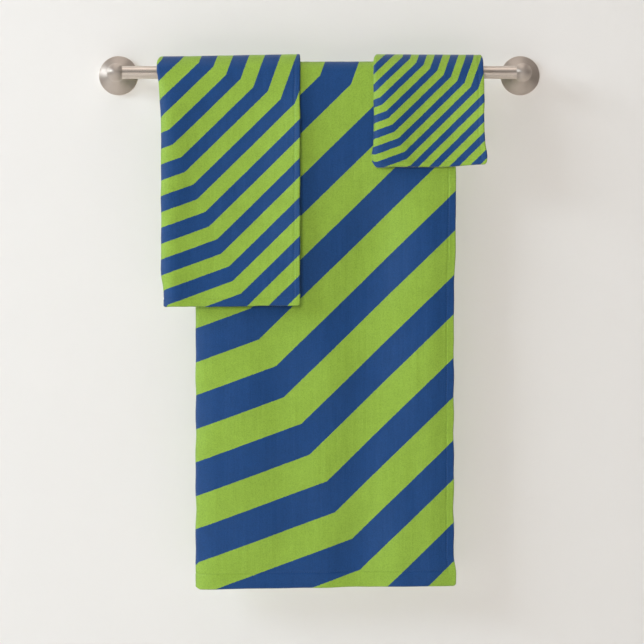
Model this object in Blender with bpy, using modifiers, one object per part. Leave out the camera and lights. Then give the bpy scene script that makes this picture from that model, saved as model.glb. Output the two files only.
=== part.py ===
"""Bath towel set: a bath towel, a hand towel and a wash cloth hung on a round wall rail.

Metres, +Z up. The origin lies on the wall plane, midway between the two posts, at the height of the
bar's axis. +X runs along the bar, +Y goes into the wall, and the towels hang down -Z on the -Y side.
"""

import math

import bmesh
import bpy
from mathutils import Matrix, Vector

# Rail
BAR_RADIUS = 0.0095
BAR_WALL = 0.0010
POST_SPACING = 0.600
WALL_TO_BAR = 0.070
HEAD_RADIUS = 0.0135
NECK_RADIUS = 0.0105
BELL_RADIUS = 0.0270
FLANGE_RADIUS = 0.0290
FLANGE_HEIGHT = 0.0080
FLANGE_STEP = 0.0016
FLARE_START = 0.0300
FLARE_POWER = 2.4
SOCKET_DEPTH = 0.0100
EDGE_ROUND = 0.0006

# Fixings behind each flange
CAVITY_RADIUS = 0.0255
CAVITY_DEPTH = 0.0095
CAVITY_FILLET = (0.0048, 0.0012)
PLATE_FRONT_RADIUS = 0.0247
PLATE_BACK_RADIUS = 0.0235
PLATE_THICKNESS = 0.0060
SCREW_OFFSET = 0.0140
SCREW_SHANK_RADIUS = 0.0021
SCREW_HEAD_RADIUS = 0.0039
SCREW_HEAD_HEIGHT = 0.0024
SCREW_HEAD_CROWN = ((0.60, 0.88), (0.90, 0.55))
SCREW_LENGTH = 0.0320
SCREW_POINT = 0.0050
SCREW_RECESS_DEPTH = 0.0012
SCREW_RECESS_WIDTH = 0.0010
SCREW_RECESS_SPAN = 0.0046
ANCHOR_RADIUS = 0.0038
ANCHOR_LENGTH = 0.0300
ANCHOR_COLLAR_RADIUS = 0.0046
ANCHOR_COLLAR_HEIGHT = 0.0012
SET_SCREW_RADIUS = 0.0018
SET_SCREW_LENGTH = 0.0040
SET_SCREW_KEY_RADIUS = 0.0010
SET_SCREW_KEY_DEPTH = 0.0018
SET_SCREW_HEIGHT = 0.0042

CLEARANCE = 0.0003

# Towels. width and drops are of the folded cloth as it hangs. inner is the inside radius of the drape
# over the bar, and hem is how far the seam lies from the cut edge.
LAYER_GAP = 0.0004
BACK_LAYER_INSET = 0.0040
TOWELS = {
    "bath_towel": dict(
        left=-0.1824, right=0.1990, front_drop=0.7610, back_drop=0.7246,
        inner=0.0098, layer=0.0027, end_hem=0.0230, side_hem=0.0110,
    ),
    "hand_towel": dict(
        left=-0.2323, right=-0.0280, front_drop=0.3460, back_drop=0.3400,
        inner=0.0185, layer=0.0024, end_hem=0.0120, side_hem=0.0085,
    ),
    "wash_cloth": dict(
        left=0.0795, right=0.2420, front_drop=0.1405, back_drop=0.1250,
        inner=0.0212, layer=0.0024, end_hem=0.0080, side_hem=0.0080,
    ),
}
THREAD_RADIUS = 0.0004
THREAD_END_GAP = 0.0016
LABEL_SIZE = {"bath_towel": (0.032, 0.045), "hand_towel": (0.026, 0.036), "wash_cloth": (0.020, 0.026)}
LABEL_THICKNESS = 0.0006
LABEL_SIDE_GAP = 0.0180

# How finely round shapes are divided
TURN_STEPS = 32
SMALL_STEPS = 12
HEX_STEPS = 6
DRAPE_STEPS = 16
FOLD_STEPS = 6
BELL_STEPS = 9
HEAD_STEPS = 8
MERGE_DISTANCE = 0.00002
SMOOTH_ANGLE = math.radians(35)

BAR_AXIS = Vector((0.0, -WALL_TO_BAR, 0.0))
OUT_OF_WALL = Matrix.Rotation(math.radians(90), 4, "X")
ALONG_X = Matrix.Rotation(math.radians(90), 4, "Y")
SIDES = {"left": -1.0, "right": 1.0}

MATERIALS = {
    "satin_nickel": ((0.52, 0.48, 0.42), 0.32, 1.0),
    "zinc_plate": ((0.55, 0.55, 0.56), 0.45, 1.0),
    "screw_steel": ((0.60, 0.60, 0.60), 0.35, 1.0),
    "anchor_plastic": ((0.80, 0.80, 0.78), 0.55, 0.0),
    "printed_terry": ((0.12, 0.24, 0.42), 0.95, 0.0),
    "sewing_thread": ((0.30, 0.44, 0.16), 0.80, 0.0),
    "label_tape": ((0.85, 0.85, 0.83), 0.70, 0.0),
}


def clear_scene():
    for obj in list(bpy.data.objects):
        bpy.data.objects.remove(obj, do_unlink=True)


def make_collection(name):
    collection = bpy.data.collections.new(name)
    bpy.context.scene.collection.children.link(collection)
    return collection


def material_for(node, finish):
    """A material for one node, named for it, in one of the finishes above."""
    colour, roughness, metallic = MATERIALS[finish]
    material = bpy.data.materials.new(f"{node}_{finish}")
    material.use_nodes = True
    shader = material.node_tree.nodes["Principled BSDF"]
    shader.inputs["Base Color"].default_value = (*colour, 1.0)
    shader.inputs["Roughness"].default_value = roughness
    shader.inputs["Metallic"].default_value = metallic
    material.diffuse_color = (*colour, 1.0)
    return material


def add_object(name, data, collection, finish=None, matrix=None):
    obj = bpy.data.objects.new(name, data)
    collection.objects.link(obj)
    if matrix is not None:
        obj.matrix_world = matrix
    if finish is not None:
        data.materials.append(material_for(name, finish))
    return obj


def mesh_from_bmesh(name, bm):
    bmesh.ops.recalc_face_normals(bm, faces=bm.faces[:])
    mesh = bpy.data.meshes.new(name)
    bm.to_mesh(mesh)
    bm.free()
    mesh.shade_smooth()
    mesh.set_sharp_from_angle(angle=SMOOTH_ANGLE)
    return mesh


def turned(name, profile, collection, finish, matrix, steps=TURN_STEPS, ring=False):
    """A turned solid. profile is (radius, height) from the top down its outer side; a ring's profile
    is a closed loop that stays off the axis."""
    mesh = bpy.data.meshes.new(name)
    last = len(profile) - 1
    edges = [(i, i + 1) for i in range(last)]
    if ring:
        edges.append((last, 0))
    mesh.from_pydata([(r, 0.0, h) for r, h in profile], edges, [])
    obj = add_object(name, mesh, collection, finish, matrix)
    screw = obj.modifiers.new("Turn", "SCREW")
    screw.steps = steps
    screw.render_steps = steps
    screw.use_merge_vertices = not ring
    screw.merge_threshold = MERGE_DISTANCE
    screw.use_smooth_shade = True
    if ring:
        weld = obj.modifiers.new("Close", "WELD")
        weld.merge_threshold = MERGE_DISTANCE
    return obj


def cylinder_cutter(name, radius, length, collection, matrix, steps=TURN_STEPS):
    bm = bmesh.new()
    bmesh.ops.create_cone(
        bm, cap_ends=True, segments=steps, radius1=radius, radius2=radius, depth=length
    )
    return as_cutter(add_object(name, mesh_from_bmesh(name, bm), collection, matrix=matrix))


def box_cutter(name, size, collection, matrix):
    bm = bmesh.new()
    bmesh.ops.create_cube(bm, size=1.0, matrix=Matrix.Diagonal((*size, 1.0)))
    return as_cutter(add_object(name, mesh_from_bmesh(name, bm), collection, matrix=matrix))


def as_cutter(obj):
    obj.hide_render = True
    obj.display_type = "WIRE"
    return obj


def cut(obj, cutter):
    boolean = obj.modifiers.new(f"Cut {cutter.name}", "BOOLEAN")
    boolean.operation = "DIFFERENCE"
    boolean.solver = "EXACT"
    boolean.object = cutter


def arc(centre, radius, start, end, steps):
    """Points (r, h) round a centre, from one angle to another, in degrees."""
    points = []
    for i in range(steps + 1):
        angle = math.radians(start + (end - start) * i / steps)
        points.append(
            (centre[0] + radius * math.cos(angle), centre[1] + radius * math.sin(angle))
        )
    return points


def post_profile():
    """A round head on a straight neck that flares out to a stepped flange, hollow at the wall."""
    neck_drop = math.sqrt(HEAD_RADIUS**2 - NECK_RADIUS**2)
    neck_angle = -math.degrees(math.atan2(neck_drop, NECK_RADIUS))
    head = arc((0.0, WALL_TO_BAR), HEAD_RADIUS, 90.0, neck_angle, HEAD_STEPS)
    head[0] = (0.0, WALL_TO_BAR + HEAD_RADIUS)
    base_height = FLANGE_HEIGHT + FLANGE_STEP
    bell = []
    for i in range(BELL_STEPS + 1):
        down = i / BELL_STEPS
        radius = NECK_RADIUS + (BELL_RADIUS - NECK_RADIUS) * down**FLARE_POWER
        bell.append((radius, FLARE_START + (base_height - FLARE_START) * down))
    rim = [
        (BELL_RADIUS, FLANGE_HEIGHT),
        (FLANGE_RADIUS - EDGE_ROUND, FLANGE_HEIGHT),
        (FLANGE_RADIUS, FLANGE_HEIGHT - EDGE_ROUND),
        (FLANGE_RADIUS, 0.0),
        (CAVITY_RADIUS, 0.0),
        (CAVITY_RADIUS, CAVITY_DEPTH - CAVITY_FILLET[1]),
        (CAVITY_RADIUS - CAVITY_FILLET[0], CAVITY_DEPTH),
        (0.0, CAVITY_DEPTH),
    ]
    return head + bell + rim


def make_rail(parts, cutters):
    bar_end = POST_SPACING / 2 - HEAD_RADIUS + SOCKET_DEPTH
    bar_profile = [
        (BAR_RADIUS, bar_end),
        (BAR_RADIUS, -bar_end),
        (BAR_RADIUS - BAR_WALL, -bar_end),
        (BAR_RADIUS - BAR_WALL, bar_end),
    ]
    turned(
        "bar_tube", bar_profile, parts, "satin_nickel",
        Matrix.Translation(BAR_AXIS) @ ALONG_X, ring=True,
    )
    for side, sign in SIDES.items():
        make_bracket(side, sign, bar_end, parts, cutters)


def make_bracket(side, sign, bar_end, parts, cutters):
    centre = Vector((sign * POST_SPACING / 2, 0.0, 0.0))
    at_wall = Matrix.Translation(centre) @ OUT_OF_WALL

    post = turned(f"{side}_post", post_profile(), parts, "satin_nickel", at_wall)
    socket_length = 2 * HEAD_RADIUS
    socket_centre = sign * (bar_end + CLEARANCE - socket_length / 2)
    cut(post, cylinder_cutter(
        f"{side}_bar_socket", BAR_RADIUS + CLEARANCE, socket_length, cutters,
        Matrix.Translation(Vector((socket_centre, 0.0, 0.0)) + BAR_AXIS) @ ALONG_X,
    ))
    screw_axis = centre + Vector((0.0, -SET_SCREW_HEIGHT, 0.0))
    rim_middle = Vector((0.0, 0.0, -(CAVITY_RADIUS + FLANGE_RADIUS) / 2))
    cut(post, cylinder_cutter(
        f"{side}_set_screw_hole", SET_SCREW_RADIUS + CLEARANCE, 2 * SET_SCREW_LENGTH,
        cutters, Matrix.Translation(screw_axis + rim_middle), SMALL_STEPS,
    ))

    plate_profile = [
        (0.0, PLATE_THICKNESS),
        (PLATE_FRONT_RADIUS, PLATE_THICKNESS),
        (PLATE_BACK_RADIUS, 0.0),
        (0.0, 0.0),
    ]
    plate = turned(f"{side}_mounting_plate", plate_profile, parts, "zinc_plate", at_wall)

    key_profile = [
        (0.0, SET_SCREW_LENGTH),
        (SET_SCREW_RADIUS - EDGE_ROUND, SET_SCREW_LENGTH),
        (SET_SCREW_RADIUS, SET_SCREW_LENGTH - EDGE_ROUND),
        (SET_SCREW_RADIUS, 0.0),
        (0.0, 0.0),
    ]
    foot = screw_axis + Vector((0.0, 0.0, -PLATE_FRONT_RADIUS - SET_SCREW_LENGTH))
    set_screw = turned(
        f"{side}_set_screw", key_profile, parts, "screw_steel",
        Matrix.Translation(foot), SMALL_STEPS,
    )
    cut(set_screw, cylinder_cutter(
        f"{side}_hex_key_socket", SET_SCREW_KEY_RADIUS, 2 * SET_SCREW_KEY_DEPTH, cutters,
        Matrix.Translation(foot), HEX_STEPS,
    ))

    for level, up in (("upper", 1.0), ("lower", -1.0)):
        offset = Vector((0.0, 0.0, up * SCREW_OFFSET))
        fixing = Matrix.Translation(centre + offset) @ OUT_OF_WALL
        cut(plate, cylinder_cutter(
            f"{side}_{level}_plate_hole", SCREW_SHANK_RADIUS + CLEARANCE,
            4 * PLATE_THICKNESS, cutters, fixing, SMALL_STEPS,
        ))
        make_wall_screw(f"{side}_{level}_wall_screw", fixing, parts, cutters)
        make_wall_anchor(f"{side}_{level}_wall_anchor", fixing, parts)


def make_wall_screw(name, matrix, parts, cutters):
    """A pan-head wood screw with a cross recess, its head on the front of the mounting plate."""
    seat = PLATE_THICKNESS + CLEARANCE
    top = seat + SCREW_HEAD_HEIGHT
    end = seat - SCREW_LENGTH
    crown = [
        (SCREW_HEAD_RADIUS * across, seat + SCREW_HEAD_HEIGHT * up) for across, up in SCREW_HEAD_CROWN
    ]
    profile = [
        (0.0, top),
        *crown,
        (SCREW_HEAD_RADIUS, seat),
        (SCREW_SHANK_RADIUS, seat),
        (SCREW_SHANK_RADIUS, end + SCREW_POINT),
        (0.0, end),
    ]
    screw = turned(name, profile, parts, "screw_steel", matrix, SMALL_STEPS)
    span, width = SCREW_RECESS_SPAN, SCREW_RECESS_WIDTH
    recess_top = Matrix.Translation((0.0, 0.0, top))
    for i, size in enumerate(((span, width), (width, span))):
        cut(screw, box_cutter(
            f"{name}_recess_{i}", (*size, 2 * SCREW_RECESS_DEPTH), cutters, matrix @ recess_top
        ))


def make_wall_anchor(name, matrix, parts):
    """A collared plug in the wall round the screw, just behind the mounting plate."""
    bore = SCREW_SHANK_RADIUS + CLEARANCE
    profile = [
        (ANCHOR_COLLAR_RADIUS, -CLEARANCE),
        (ANCHOR_COLLAR_RADIUS, -CLEARANCE - ANCHOR_COLLAR_HEIGHT),
        (ANCHOR_RADIUS, -CLEARANCE - ANCHOR_COLLAR_HEIGHT),
        (bore + CLEARANCE, -CLEARANCE - ANCHOR_LENGTH),
        (bore, -CLEARANCE - ANCHOR_LENGTH),
        (bore, -CLEARANCE),
    ]
    turned(name, profile, parts, "anchor_plastic", matrix, SMALL_STEPS, ring=True)


def folded_section(towel):
    """The cloth cut across: a hairpin of two layers joined by the fold at the left, as (x, r), where
    r is the distance from the bar's axis. The layer against the bar stops a little short."""
    layer, inner = towel["layer"], towel["inner"]
    stack = 2 * layer + LAYER_GAP
    outside = stack / 2
    inside = LAYER_GAP / 2
    fold_centre = (towel["left"] + outside, inner + outside)
    section = [(towel["right"], inner + stack)]
    section += arc(fold_centre, outside, 90.0, 270.0, FOLD_STEPS)
    section += [
        (towel["right"] - BACK_LAYER_INSET, inner),
        (towel["right"] - BACK_LAYER_INSET, inner + layer),
    ]
    section += arc(fold_centre, inside, 270.0, 90.0, FOLD_STEPS)
    section += [(towel["right"], inner + stack - layer)]
    return section


def make_cloth(name, towel, parts):
    """The folded cloth: its section goes up the front drop, half round the bar and down the back."""
    bm = bmesh.new()
    corners = [
        bm.verts.new((x, BAR_AXIS.y - r, -towel["front_drop"])) for x, r in folded_section(towel)
    ]
    hem = bm.faces.new(corners)
    top = bmesh.ops.extrude_face_region(bm, geom=[hem])["geom"]
    bmesh.ops.translate(
        bm, vec=(0.0, 0.0, towel["front_drop"]),
        verts=[g for g in top if isinstance(g, bmesh.types.BMVert)],
    )
    over = bmesh.ops.spin(
        bm, geom=[g for g in top if isinstance(g, bmesh.types.BMFace)],
        cent=BAR_AXIS, axis=(-1.0, 0.0, 0.0), angle=math.pi, steps=DRAPE_STEPS,
    )["geom_last"]
    back = bmesh.ops.extrude_face_region(
        bm, geom=[g for g in over if isinstance(g, bmesh.types.BMFace)]
    )["geom"]
    bmesh.ops.translate(
        bm, vec=(0.0, 0.0, -towel["back_drop"]),
        verts=[g for g in back if isinstance(g, bmesh.types.BMVert)],
    )
    bmesh.ops.delete(bm, geom=inner_faces(bm), context="FACES")
    add_object(f"{name}_cloth", mesh_from_bmesh(name, bm), parts, "printed_terry")


def inner_faces(bm):
    """Section faces that an extrusion left inside the solid: each shares an edge with two others."""
    return [f for f in bm.faces if all(len(e.link_faces) > 2 for e in f.edges)]


def thread(name, points, parts):
    """A line of sewing thread through the points."""
    curve = bpy.data.curves.new(name, "CURVE")
    curve.dimensions = "3D"
    curve.bevel_depth = THREAD_RADIUS
    curve.bevel_resolution = 1
    curve.use_fill_caps = True
    spline = curve.splines.new("POLY")
    spline.points.add(len(points) - 1)
    for point, place in zip(spline.points, points):
        point.co = (*place, 1.0)
    add_object(name, curve, parts, "sewing_thread")


def make_towel(name, towel, parts):
    make_cloth(name, towel, parts)
    face = towel["inner"] + 2 * towel["layer"] + LAYER_GAP
    seam = face + CLEARANCE + THREAD_RADIUS
    first = towel["left"] + towel["side_hem"]
    last = towel["right"] - towel["side_hem"]
    front, back = BAR_AXIS.y - seam, BAR_AXIS.y + seam
    front_hem = towel["end_hem"] - towel["front_drop"]
    back_hem = towel["end_hem"] - towel["back_drop"]
    for end, y, z in (("front", front, front_hem), ("back", back, back_hem)):
        thread(f"{name}_{end}_hem_thread", [(first, y, z), (last - THREAD_END_GAP, y, z)], parts)
    side = [(last, front, front_hem)]
    side += [
        (last, BAR_AXIS.y + across, up)
        for across, up in arc((0.0, 0.0), seam, 180.0, 0.0, DRAPE_STEPS)
    ]
    side += [(last, back, back_hem)]
    thread(f"{name}_side_hem_thread", side, parts)
    make_label(name, towel, BAR_AXIS.y + face, parts)


def make_label(name, towel, back_face, parts):
    """A blank care label on the wall side of the back drop, just above the end hem."""
    width, height = LABEL_SIZE[name]
    centre = Vector((
        towel["right"] - towel["side_hem"] - LABEL_SIDE_GAP - width / 2,
        back_face + CLEARANCE + LABEL_THICKNESS / 2,
        2 * towel["end_hem"] - towel["back_drop"] + height / 2,
    ))
    bm = bmesh.new()
    bmesh.ops.create_cube(bm, size=1.0, matrix=Matrix.Diagonal((width, LABEL_THICKNESS, height, 1.0)))
    add_object(
        f"{name}_care_label", mesh_from_bmesh(name, bm), parts, "label_tape",
        Matrix.Translation(centre),
    )


def main():
    clear_scene()
    parts = make_collection("bath_towel_set")
    cutters = make_collection("cutters")
    make_rail(parts, cutters)
    for name, towel in TOWELS.items():
        make_towel(name, towel, parts)


main()
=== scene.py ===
import math

import bmesh
import bpy
import numpy as np
from mathutils import Matrix, Vector


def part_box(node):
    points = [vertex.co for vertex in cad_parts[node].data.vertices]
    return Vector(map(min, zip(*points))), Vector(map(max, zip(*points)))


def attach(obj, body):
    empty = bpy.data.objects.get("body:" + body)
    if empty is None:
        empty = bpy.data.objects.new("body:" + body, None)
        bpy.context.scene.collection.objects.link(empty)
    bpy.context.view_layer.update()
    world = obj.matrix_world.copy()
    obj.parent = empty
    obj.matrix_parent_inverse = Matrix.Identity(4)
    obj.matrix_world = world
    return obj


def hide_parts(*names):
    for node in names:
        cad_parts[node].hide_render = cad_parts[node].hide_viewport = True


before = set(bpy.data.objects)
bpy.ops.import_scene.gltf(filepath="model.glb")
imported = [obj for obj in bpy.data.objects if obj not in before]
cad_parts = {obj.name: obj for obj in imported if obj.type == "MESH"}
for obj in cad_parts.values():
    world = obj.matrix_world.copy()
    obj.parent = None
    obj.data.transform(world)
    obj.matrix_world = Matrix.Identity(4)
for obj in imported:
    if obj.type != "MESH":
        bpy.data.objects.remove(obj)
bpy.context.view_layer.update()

# A bath towel, a hand towel and a wash cloth in printed terry, each folded lengthwise and draped
# over a satin nickel wall rail. Metres, in the frame's own axes: +X along the bar, +Y into the
# wall and +Z up.

WALL_PLANE = 0.0

# ---- Driving dimensions ----

bar_low, bar_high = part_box("bar_tube")
BAR_RADIUS = (bar_high.z - bar_low.z) / 2
BAR_CENTRE = (bar_low + bar_high) / 2
BAR_LENGTH = bar_high.x - bar_low.x

# The stripe, for the bath towel. Each blue stripe runs between an upper and a lower edge. Both
# edges are kinked lines that grow in even steps from a point above the towel: shallow at the
# left, near 45 degrees in the middle and steep at the upper right, then near 45 degrees again.
STRIPE_STEP_MIDDLE = 0.0868
STRIPE_STEP_SHALLOW = 0.0925
STRIPE_STEP_STEEP = 0.0929
STRIPE_ANGLE_SHALLOW = math.radians(20.2)
STRIPE_ANGLE_MIDDLE = math.radians(44.3)
STRIPE_ANGLE_STEEP = math.radians(70.4)
STRIPE_EDGE_SHIFT = (0.0145, -0.0139)
STRIPE_UPPER_PHASE = -0.718
STRIPE_LOWER_PHASE = -1.422

GREEN = (0.276, 0.444, 0.052)
BLUE = (0.011, 0.058, 0.193)
TERRY_WHITE = (0.80, 0.79, 0.75)

# flat: the cut size. hem: depth of the end hems. side: depth of the side hem. layer: one layer's
# thickness. puff: the radius of the fold. rise: how far the top stands above the CAD solid at the
# left and right ends. print_scale and print_from place the artwork: its size beside the bath
# towel's, and its apex (x, z). stitch: the length of one stitch and the gap after it. drawn_in:
# how far the left and right edges are drawn in at the top of the bend over the bar.
TOWELS = {
    "bath_towel": dict(
        flat=(0.762, 1.524), hem=0.0230, side=0.0110, layer=0.0027, puff=0.0030,
        rise=(0.0000, 0.0008), print_scale=1.0, print_from=(-0.3146, 0.1370), stitch=0.0034,
        drawn_in=(0.0030, 0.0010),
    ),
    "hand_towel": dict(
        flat=(0.406, 0.762), hem=0.0120, side=0.0085, layer=0.0024, puff=0.0030,
        rise=(-0.0004, 0.0034), print_scale=0.4712, print_from=(-0.2857, 0.0620), stitch=0.0030,
        drawn_in=(0.0038, 0.0006),
    ),
    "wash_cloth": dict(
        flat=(0.330, 0.330), hem=0.0080, side=0.0080, layer=0.0024, puff=0.0030,
        rise=(0.0004, -0.0004), print_scale=0.2352, print_from=(0.0481, 0.0552), stitch=0.0028,
        drawn_in=(0.0038, 0.0030),
    ),
}


# ---- Small helpers ----

def smooth(low, high, value):
    """0 below low, 1 above high, with an even ramp between. low may be above high."""
    t = np.clip((value - low) / (high - low), 0.0, 1.0)
    return t * t * (3.0 - 2.0 * t)


def ramp(most, low, high, value):
    """0 below low and most above high."""
    return most * smooth(low, high, value)


def bump(centre, width, value):
    """1 at centre, falling away evenly on both sides."""
    return np.exp(-(((value - centre) / width) ** 2))


def curled(most, reach, distance):
    """Most at no distance, dying away over reach."""
    return most * np.exp(-distance / reach)


RIPPLE_WAVES = 7
RIPPLE_EVEN = 3.0


def ripple(seed, scale, *values):
    """Smooth noise between about -1 and 1: a sum of sine waves in seeded directions."""
    rng = np.random.default_rng(seed)
    total = 0.0
    for _ in range(RIPPLE_WAVES):
        phase = rng.uniform(0.0, 2.0 * math.pi)
        wave = phase
        for value in values:
            wave = wave + value * rng.normal(0.0, 2.0 * math.pi / scale)
        total = total + np.sin(wave)
    return total / RIPPLE_EVEN


HAIR = 1e-9
EASE_IN = 0.6


def spaced(start, end, fine_zones, fine, coarse):
    """Grid lines from start to end, fine inside the zones and coarse outside, where the step eases
    down on the way to the next zone."""
    lines = [start]
    while lines[-1] < end - HAIR:
        here = lines[-1]
        step = coarse
        for low, high in fine_zones:
            if low - HAIR <= here < high:
                step = fine
            elif here < low:
                step = min(step, max(fine, (low - here) * EASE_IN))
        lines.append(min(here + step, end))
    return np.array(lines)


def add_object(name, data):
    obj = bpy.data.objects.new(name, data)
    bpy.context.scene.collection.objects.link(obj)
    return obj


def add_mesh(name, vertices, faces):
    mesh = bpy.data.meshes.new(name)
    mesh.from_pydata([tuple(v) for v in vertices], [], [tuple(f) for f in faces])
    mesh.update()
    mesh.shade_smooth()
    return add_object(name, mesh)


def mesh_from(bm, name):
    """A bmesh's mesh, with the bmesh let go."""
    mesh = bpy.data.meshes.new(name)
    bm.to_mesh(mesh)
    bm.free()
    return mesh


# ---- Materials ----

class Graph:
    """Short ways to add and join nodes."""

    def __init__(self, tree):
        self.tree = tree

    def add(self, kind, inputs=(), **settings):
        node = self.tree.nodes.new(kind)
        for key, value in settings.items():
            setattr(node, key, value)
        for key, value in dict(inputs).items():
            self.feed(node.inputs[key], value)
        return node

    def feed(self, socket, value):
        if isinstance(value, bpy.types.NodeSocket):
            self.tree.links.new(value, socket)
        else:
            socket.default_value = value

    def math(self, operation, a, b=0.0, c=0.0, clamp=False):
        settings = dict(operation=operation, use_clamp=clamp)
        return self.add("ShaderNodeMath", {0: a, 1: b, 2: c}, **settings).outputs[0]

    def scaled(self, vector, scale):
        inputs = {0: vector, "Scale": scale}
        return self.add("ShaderNodeVectorMath", inputs, operation="SCALE").outputs[0]

    def noise(self, vector, scale, detail=3.0, roughness=0.5):
        inputs = {"Vector": vector, "Scale": scale, "Detail": detail, "Roughness": roughness}
        return self.add("ShaderNodeTexNoise", inputs).outputs["Fac"]

    def stretch(self, vector, scale):
        return self.add("ShaderNodeMapping", {"Vector": vector, "Scale": scale}).outputs[0]

    def mix(self, factor, a, b):
        """A mix of two colours, whose sockets are the node's seventh and eighth."""
        return self.add("ShaderNodeMix", {0: factor, 6: a, 7: b}, data_type="RGBA").outputs[2]

    def spread(self, value, low, high, to_low=0.0, to_high=1.0, **settings):
        inputs = {"Value": value, "From Min": low, "From Max": high}
        inputs.update({"To Min": to_low, "To Max": to_high})
        return self.add("ShaderNodeMapRange", inputs, **settings).outputs[0]

    def bump(self, height, distance, strength=1.0, normal=None):
        inputs = {"Height": height, "Distance": distance, "Strength": strength}
        if normal is not None:
            inputs["Normal"] = normal
        return self.add("ShaderNodeBump", inputs).outputs[0]


class Nodes(Graph):
    """The nodes of a new material."""

    def __init__(self, name):
        self.material = bpy.data.materials.new(name)
        self.material.use_nodes = True
        super().__init__(self.material.node_tree)
        self.shader = self.tree.nodes["Principled BSDF"]

    def place(self):
        return self.add("ShaderNodeTexCoord").outputs["Object"]

    def set(self, **inputs):
        for key, value in inputs.items():
            self.feed(self.shader.inputs[key.replace("_", " ")], value)
        return self.material

    def blend(self, factor, other):
        """Shows the other shader in place of the surface's own, as far as the factor says."""
        mixed = self.add("ShaderNodeMixShader", {0: factor, 1: self.shader.outputs[0], 2: other})
        output = self.tree.nodes["Material Output"]
        self.tree.links.new(mixed.outputs[0], output.inputs["Surface"])


def colour(rgb):
    return (*rgb, 1.0)


def stripe_mask(n, flat, towel):
    """1 on blue and 0 on green, from the cloth's flat coordinates in metres."""
    scale = towel["print_scale"]
    runs = (
        (STRIPE_ANGLE_SHALLOW, STRIPE_STEP_SHALLOW),
        (STRIPE_ANGLE_MIDDLE, STRIPE_STEP_MIDDLE),
        (STRIPE_ANGLE_STEEP, STRIPE_STEP_STEEP),
    )
    upper = towel["print_from"]
    lower = tuple(a - scale * b for a, b in zip(upper, STRIPE_EDGE_SHIFT))
    counts = []
    for apex, phase in ((upper, STRIPE_UPPER_PHASE), (lower, STRIPE_LOWER_PHASE)):
        steps = []
        for angle, step in runs:
            across = (math.sin(angle) / (step * scale), -math.cos(angle) / (step * scale), 0.0)
            dot = n.add("ShaderNodeVectorMath", {0: flat, 1: across}, operation="DOT_PRODUCT")
            at_apex = across[0] * apex[0] + across[1] * apex[1]
            steps.append(n.math("SUBTRACT", dot.outputs["Value"], at_apex))
        kinked = n.math("MAXIMUM", n.math("MAXIMUM", steps[0], steps[1]), steps[2])
        kinked = n.math("MINIMUM", kinked, n.math("ADD", steps[1], 1.0))
        counts.append(n.math("FLOOR", n.math("ADD", kinked, phase)))
    return n.math("SUBTRACT", counts[0], counts[1], clamp=True)


PILE_LOOP = 0.0011
PILE_HEIGHT = 0.0007
PILE_STRENGTH = 0.30
PILE_SHARES = (0.55, 0.35, 0.10)
CREASE_HEIGHT = 0.0017
CREASE_SHARE = 0.35
EDGE_BLEED = 0.0016


def pile(n, flat):
    """The height of sheared terry pile, 0 to 1: tufts of loop ends, with nap, in faint rows."""
    tufts = n.add(
        "ShaderNodeTexVoronoi", {"Vector": flat, "Scale": 1.0 / PILE_LOOP}, feature="SMOOTH_F1"
    ).outputs["Distance"]
    tufts = n.spread(tufts, 0.0, 0.75, 1.0, 0.0)
    nap = n.noise(flat, 0.4 / PILE_LOOP, 4.0, 0.65)
    rows = n.add(
        "ShaderNodeTexWave",
        {"Vector": flat, "Scale": 0.35 / PILE_LOOP, "Distortion": 3.0, "Detail": 2.0},
        bands_direction="X",
    ).outputs["Fac"]
    height = n.math("MULTIPLY", tufts, PILE_SHARES[0])
    height = n.math("MULTIPLY_ADD", nap, PILE_SHARES[1], height)
    return n.math("MULTIPLY_ADD", rows, PILE_SHARES[2], height)


def terry_material(name, towel, printed):
    """Terry, printed on its face and plain on its reverse. The dye's edge wanders a little. The
    pile's hollows get painted shade.
    """
    n = Nodes(name)
    flat = n.add("ShaderNodeUVMap", uv_map="flat").outputs["UV"]
    height = pile(n, flat)
    if printed:
        wander = n.add("ShaderNodeTexNoise", {"Vector": flat, "Scale": 700.0, "Detail": 2.0})
        off = n.add("ShaderNodeVectorMath", {0: wander.outputs["Color"], 1: (0.5, 0.5, 0.5)},
                    operation="SUBTRACT")
        nudge = n.scaled(off.outputs[0], EDGE_BLEED)
        design = n.add("ShaderNodeUVMap", uv_map="print").outputs["UV"]
        moved = n.add("ShaderNodeVectorMath", {0: design, 1: nudge}, operation="ADD")
        base = n.mix(stripe_mask(n, moved.outputs[0], towel), colour(GREEN), colour(BLUE))
    else:
        base = TERRY_WHITE
    # Painted shade: the pile is darker where it is low, in the hollows between its loops, and
    # lighter on the tufts.
    pile_hollow_shade = n.spread(height, 0.25, 0.75, 0.80, 1.08)
    patchy = n.spread(n.noise(flat, 60.0, 3.0), 0.3, 0.7, 0.96, 1.04)
    # The painted shade of the hollows, times random patches of tone.
    shade = n.math("MULTIPLY", pile_hollow_shade, patchy)
    creases = n.noise(n.stretch(flat, (150.0, 9.0, 1.0)), 1.0, 3.0, 0.55)
    soft = n.noise(n.stretch(flat, (34.0, 5.0, 1.0)), 1.0, 2.0, 0.5)
    fall = n.bump(n.math("MULTIPLY_ADD", creases, CREASE_SHARE, soft), CREASE_HEIGHT)
    return n.set(
        Base_Color=n.scaled(base, shade), Roughness=n.spread(height, 0.0, 1.0, 0.62, 0.46),
        Normal=n.bump(height, PILE_HEIGHT, PILE_STRENGTH, fall), Specular_IOR_Level=0.3,
        Sheen_Weight=0.08, Sheen_Roughness=0.45,
    )


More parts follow.
